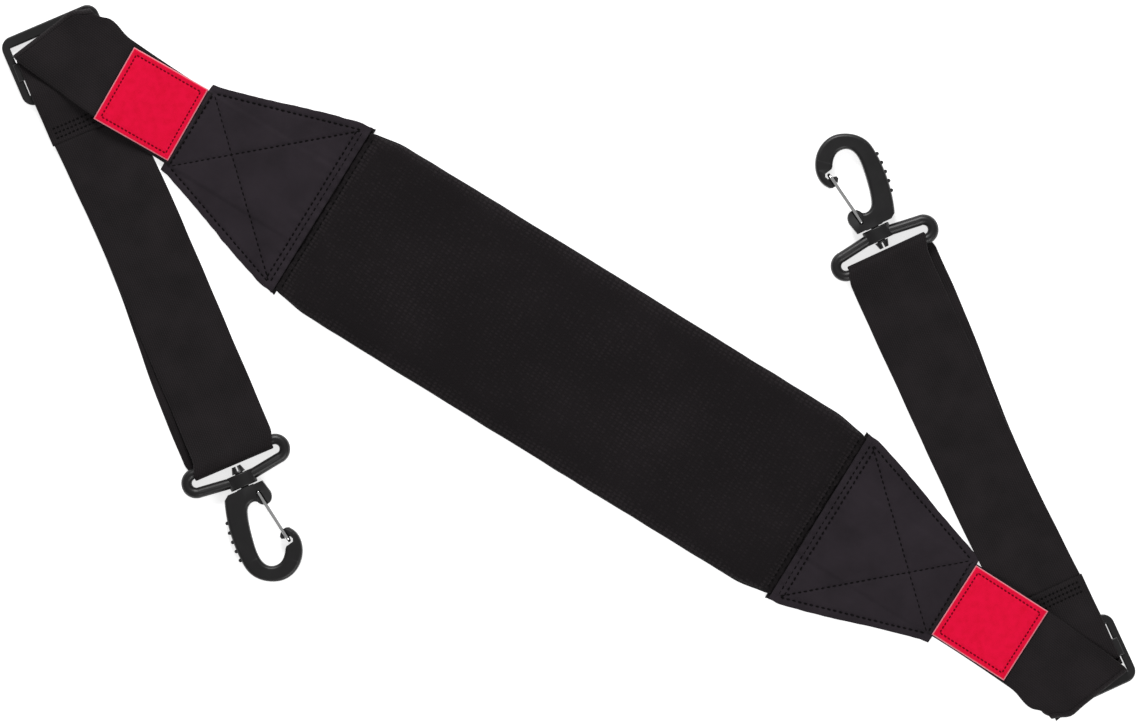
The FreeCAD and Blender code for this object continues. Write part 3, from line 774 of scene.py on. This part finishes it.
def make_panel(side, top_material, under_material, thread, seed):
    """The end panel: upper cloth drawn down along its stitching and gathered at the seam, and its lining."""
    lines = panel_lines()
    rows = 96
    columns = 110
    cloth = 1.1 * MM
    length = PANEL_TIP - PANEL_BASE

    def top_height(spot, across_share):
        over_core = smooth((WEB_WIDTH / 2 + 1.5 * MM - abs(spot.y)) / (3 * MM))
        inner = min(1 - abs(across_share), 1.0) * panel_half_width(spot.x)
        body = 1.5 * MM + 1.0 * MM * over_core + 0.5 * MM * smooth(inner / (4 * MM))
        body += 0.6 * MM * smooth((spot.x + PANEL_BASE + 10 * MM) / (10 * MM))
        pull = 0.0
        for start, end in lines:
            gap, along = segment_gap(spot, start, end)
            if gap < 4 * MM:
                hole = 0.5 + 0.5 * math.cos(2 * math.pi * along / STITCH_PITCH)
                pull = max(pull, math.exp(-(gap / (0.95 * MM)) ** 2) * (0.4 + 0.6 * hole))
        broad = 0.3 * MM * ripple(spot.x, spot.y, 15 * MM, seed)
        soft = broad + 0.16 * MM * ripple(spot.x, spot.y, 5 * MM, seed + 4)
        from_seam = -PANEL_BASE - spot.x
        gather = math.exp(-from_seam / (9 * MM)) * 0.4 * MM * math.sin(spot.y / (1.1 * MM))
        return body + soft + gather - pull * 0.9 * MM

    def surface(row, across):
        x = mix(-PANEL_BASE + 1.0 * MM, -PANEL_TIP, row)
        share = across / PANEL_WIDE
        half = panel_half_width(x)
        fray = 0.35 * MM * ripple(x, share * 3, 6 * MM, seed) * abs(share) ** 4
        tip = 0.5 * MM * ripple(share * 40 * MM, 0, 9 * MM, seed + 2) * smooth((row - 0.95) / 0.05)
        spot = Vector((x + tip, share * half + fray * math.copysign(1, share), 0))
        height = top_height(spot, share)
        return Vector((spot.x, spot.y, height)), UP, row * length

    outline = section(2 * PANEL_WIDE, cloth, columns)
    top = side.place(slab(side.node("panel_cloth"), surface, rows, outline, top_material))
    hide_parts(side.node("end_panel_top"))
    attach(top, "pad")

    def under_surface(row, across):
        x = mix(-PANEL_BASE + 3.0 * MM, -PANEL_TIP + 0.4 * MM, row)
        share = across / PANEL_WIDE
        spot = Vector((x, share * (panel_half_width(x) - 0.3 * MM), 0))
        lift = 0.1 * MM + 0.18 * MM * abs(ripple(spot.x, spot.y, 11 * MM, seed + 9))
        return Vector((spot.x, spot.y, lift)), UP, row * length

    outline = section(2 * PANEL_WIDE, cloth, 40)
    under = slab(side.node("panel_lining"), under_surface, 36, outline, under_material)
    side.place(under)
    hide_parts(side.node("end_panel_under"))
    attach(under, "pad")

    height = drop(top)
    stitches = []
    for start, end in lines:
        inward = (end - start).normalized() * 1.2 * MM
        stitches += stitch_row(side.spot(start + inward), side.spot(end - inward), height)
    rows = stitch_mesh(side.node("panel_sewing"), stitches, thread, radius=0.43 * MM)
    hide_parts(side.node("cross_stitching"))
    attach(rows, "pad")


# ---------------------------------------------------------------- pad


PAD_HALF = 173 * MM
PAD_TOP = 8.4 * MM
PAD_STATIONS = 81  # places along the pad at which its simulated width is measured
CLOTH_FRAMES = 20


def pad_half_width(x):
    """The pad swells just inside each seam and is drawn in at the seam itself."""
    from_seam = PAD_HALF - abs(x)
    middle = 0.3 * MM * math.cos(x / PAD_HALF * math.pi / 2)
    return 54.3 * MM + 3.0 * MM * smooth(from_seam / (26 * MM)) + middle


def inflate(piece, cap):
    """Cloth simulation with pressure, its result applied; no point moves further than cap."""
    rest = np.array([v.co for v in piece.data.vertices])
    cloth = piece.modifiers.new("cloth", "CLOTH")
    cloth.settings.use_pressure = True
    cloth.settings.uniform_pressure_force = 4.0
    cloth.settings.effector_weights.gravity = 0.0
    cloth.settings.mass = 0.3
    cloth.point_cache.frame_start = 1
    cloth.point_cache.frame_end = CLOTH_FRAMES
    scene = bpy.context.scene
    for step in range(1, CLOTH_FRAMES + 1):
        scene.frame_set(step)
    shaped = piece.evaluated_get(bpy.context.evaluated_depsgraph_get()).data
    moved = np.array([v.co for v in shaped.vertices])
    piece.modifiers.remove(cloth)
    scene.frame_set(1)
    shift = moved - rest
    length = np.linalg.norm(shift, axis=1, keepdims=True)
    moved = rest + shift * np.minimum(1.0, cap / np.maximum(length, 1e-9))
    piece.data.vertices.foreach_set("co", moved.astype(np.float32).ravel())
    piece.data.update()


def make_pad(material, edge_material):
    """Foam pad in its cover: inflated by simulation, laid flat below and drawn in at both seams."""
    work = bmesh.new()
    bmesh.ops.create_cube(work, size=1.0)
    for vertex in work.verts:
        x, y, z = vertex.co
        vertex.co = Vector((x * (2 * PAD_HALF - 4 * MM), y * 110 * MM, z * 5.2 * MM + 3.9 * MM))
    mesh = bpy.data.meshes.new("pad_cushion")
    work.to_mesh(mesh)
    work.free()
    piece = bpy.data.objects.new("pad_cushion", mesh)
    bpy.context.scene.collection.objects.link(piece)
    remesh = piece.modifiers.new("remesh", "REMESH")
    remesh.mode = "VOXEL"
    remesh.voxel_size = 3.6 * MM
    bake_modifiers(piece)
    inflate(piece, 2.6 * MM)
    bake_modifiers(piece, "SUBSURF")
    places = np.array([v.co for v in piece.data.vertices])
    top = places[:, 2].max()
    bottom = places[:, 2].min()
    long = np.abs(places[:, 0]).max()
    stations = np.linspace(-long, long, PAD_STATIONS)
    nearest = np.rint((places[:, 0] / long + 1) * (PAD_STATIONS // 2)).astype(int)
    broad = [np.abs(places[nearest == n, 1]).max(initial=30 * MM) for n in range(PAD_STATIONS)]
    for vertex in piece.data.vertices:
        x = vertex.co.x / long * PAD_HALF
        share = max(-1.0, min(1.0, vertex.co.y / np.interp(vertex.co.x, stations, broad)))
        half = pad_half_width(x)
        y = share * half
        level = (vertex.co.z - bottom) / (top - bottom)
        from_seam = PAD_HALF - abs(x)
        crown = 1.0 + 0.05 * (1 - share * share)
        full = PAD_TOP * crown
        pinch = smooth(from_seam / (13 * MM))
        tall = mix(3.3 * MM, full, pinch ** 0.8)
        fade = math.exp(-from_seam / (10 * MM)) * smooth(from_seam / (2 * MM))
        skew = y + 0.55 * from_seam * (1 if y > 0 else -1)
        gather = fade * (0.9 * MM * ripple(skew, 0, 5.5 * MM, 1.5) + 0.45 * MM * math.sin(skew / (1.7 * MM)))
        dent = 0.35 * MM * ripple(x, y, 38 * MM, 4) + 0.12 * MM * ripple(x, y, 9 * MM, 7)
        z = level * tall + smooth((level - 0.3) / 0.5) * (gather + dent)
        waver = 0.35 * MM * ripple(x, 0, 17 * MM, 3 if y > 0 else 9) * abs(share) ** 3
        vertex.co = Vector((x, y + math.copysign(waver, y), max(0.05 * MM, z)))
    piece.data.polygons.foreach_set("use_smooth", [True] * len(piece.data.polygons))
    piece.data.materials.append(material)
    piece.data.update()
    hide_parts("pad_cover", "pad_foam", "pad_lining")
    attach(piece, "pad")
    make_pad_edge(edge_material)
    return piece


def bake_modifiers(piece, kind=None):
    if kind:
        piece.modifiers.new(kind.lower(), kind)
    shaped = bpy.data.meshes.new_from_object(piece.evaluated_get(bpy.context.evaluated_depsgraph_get()))
    piece.modifiers.clear()
    piece.data = shaped


def make_pad_edge(material):
    """Thin turned edge where the cover and the lining are sewn together along each side of the pad."""
    for name, sign in (("front", -1), ("back", 1)):
        rows = 170
        sides = 8
        turns = np.linspace(0, 2 * math.pi, sides + 1)[:-1]
        outline = [(1.8 * math.cos(turn), 1.1 * math.sin(turn)) for turn in turns]
        vertices = []
        faces = []
        for row in range(rows + 1):
            x = mix(-PAD_HALF + 1 * MM, PAD_HALF - 1 * MM, row / rows)
            y = (pad_half_width(x) - 1.3 * MM) * sign + 0.25 * MM * ripple(x, sign, 14 * MM, 3)
            taper = smooth((PAD_HALF - abs(x)) / (6 * MM)) * 0.5 + 0.5
            for a, b in outline:
                vertices.append(Vector((x, y + a * MM * taper, 1.7 * MM + b * MM * taper)))
        for row in range(rows):
            for n in range(sides):
                a = row * sides + n
                b = row * sides + (n + 1) % sides
                faces.append((a, b, b + sides, a + sides))
        faces.append(tuple(range(sides)))
        faces.append(tuple(rows * sides + n for n in reversed(range(sides))))
        piece = make_object(f"pad_edge_{name}", vertices, faces, material, None)
        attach(piece, "pad")


def make_pad_seams(pad, thread):
    """Row of stitches on the pad's side of each seam."""
    height = drop(pad)
    stitches = []
    for sign in (-1, 1):
        x = sign * (PAD_HALF - 4.6 * MM)
        half = pad_half_width(x) - 3 * MM
        stitches += stitch_row(Vector((x, -half, 0)), Vector((x, half, 0)), height)
    piece = stitch_mesh("pad_seam_sewing", stitches, thread)
    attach(piece, "pad")


def make_core(material):
    """The load webbing inside the pad and the end panels."""
    low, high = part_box("core_webbing")

    def surface(row, across):
        x = mix(low.x + 0.5 * MM, high.x - 0.5 * MM, row)
        z = low.z + 0.05 * MM * (1 + ripple(x, across, 20 * MM, 2))
        return Vector((x, across, z)), UP, x

    outline = section(WEB_WIDTH - 0.4 * MM, WEB_THICK * 0.9, 16)
    piece = slab("load_webbing", surface, 120, outline, material)
    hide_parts("core_webbing")
    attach(piece, "pad")


# ---------------------------------------------------------------- hardware


def finish_hardware(side, plastic, steel):
    for name, material in (("slider", plastic), ("loop", plastic), ("hook", plastic), ("gate", steel)):
        node = frame["nodes"][side.node(name)]
        node.data.materials.clear()
        node.data.materials.append(material)


# ---------------------------------------------------------------- studio


VIEW_WIDTH = 672 * MM
VIEW_TURN = math.radians(31.65)
VIEW_CENTRE = Vector((-1.1 * MM, 0.7 * MM, 0))
VIEW_DISTANCE = 5.0
FLOOR_REACH = 4.0


def make_studio():
    scene = bpy.context.scene
    scene.view_settings.view_transform = "Standard"
    camera = bpy.data.cameras.new("camera")
    camera.sensor_width = 36.0
    camera.lens = camera.sensor_width * VIEW_DISTANCE / VIEW_WIDTH
    camera.clip_end = 20.0
    viewer = bpy.data.objects.new("camera", camera)
    viewer.location = VIEW_CENTRE + UP * VIEW_DISTANCE
    viewer.rotation_euler = (0, 0, VIEW_TURN)
    scene.collection.objects.link(viewer)
    scene.camera = viewer

    world = bpy.data.worlds.new("studio")
    scene.world = world
    world.use_nodes = True
    background = world.node_tree.nodes["Background"]
    background.inputs["Color"].default_value = (1, 1, 1, 1)
    background.inputs["Strength"].default_value = 0.3

    mesh = bpy.data.meshes.new("floor")
    corners = [(FLOOR_REACH * x, FLOOR_REACH * y, 0) for x, y in ((-1, -1), (1, -1), (1, 1), (-1, 1))]
    mesh.from_pydata(corners, [], [(0, 1, 2, 3)])
    floor = bpy.data.objects.new("floor", mesh)
    floor.location.z = -0.2 * MM
    scene.collection.objects.link(floor)
    shader = Shader("floor", (0.86, 0.86, 0.86), 0.9, specular=0.0)
    shader.set(shader.bsdf, "Emission Color", (1, 1, 1, 1))
    shader.set(shader.bsdf, "Emission Strength", 0.7)
    mesh.materials.append(shader.material)

    lamps = (("key", (-1.1, 1.3, 1.5), 0.9, 34), ("fill", (1.4, -0.7, 1.3), 1.1, 14))
    for name, place, size, power in lamps:
        lamp = bpy.data.lights.new(name, "AREA")
        lamp.shape = "DISK"
        lamp.size = size
        lamp.energy = power
        light = bpy.data.objects.new(name, lamp)
        light.location = place
        light.rotation_euler = (Vector(place)).to_track_quat("Z", "Y").to_euler()
        scene.collection.objects.link(light)


# ---------------------------------------------------------------- the whole


def main():
    flat_webbing = webbing_material("webbing")
    # Near-black thread, set much darker than the cloth partly as painted shade: the stitches also stand in
    # for the shaded needle holes they sit in.
    thread = thread_material("thread", (0.0045, 0.004, 0.0042))
    # Dark red label thread, partly painted shade: its darkness stands in for the shade in the stitched groove
    # round the label.
    red_thread = thread_material("label_thread", (0.16, 0.001, 0.006))
    panel_cloth = plain_cloth_material("panel_fabric", (0.0235, 0.0184, 0.0232))
    lining = plain_cloth_material("lining_fabric", (0.012, 0.011, 0.012))
    label_cloth = label_material(LABEL_WIDTH / 2, LABEL_LENGTH / 2)
    plastic = plastic_material()
    steel = steel_material()

    pad = make_pad(mesh_fabric_material(), lining)
    make_pad_seams(pad, thread)
    make_core(flat_webbing)
    for name, label_turn, seed in (("left", math.radians(2.0), 3.0), ("right", math.radians(-1.0), 17.0)):
        side = Side(name)
        line_turn = math.atan2(side.out.y, side.out.x) + (math.pi if name == "right" else 0.0)
        strand = make_strand(side, webbing_material(f"strand_webbing_{name}", line_turn))
        make_turn(side, flat_webbing)
        tail = make_slider_webbing(side, flat_webbing)
        rows = stitch_mesh(side.node("bar_tack"), tail, thread)
        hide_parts(side.node("tail_stitching"))
        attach(rows, side.body("slider"))
        make_arm(side, flat_webbing)
        make_label(side, label_cloth, red_thread, label_turn)
        make_panel(side, panel_cloth, lining, thread, seed)
        finish_hardware(side, plastic, steel)
    make_studio()


main()
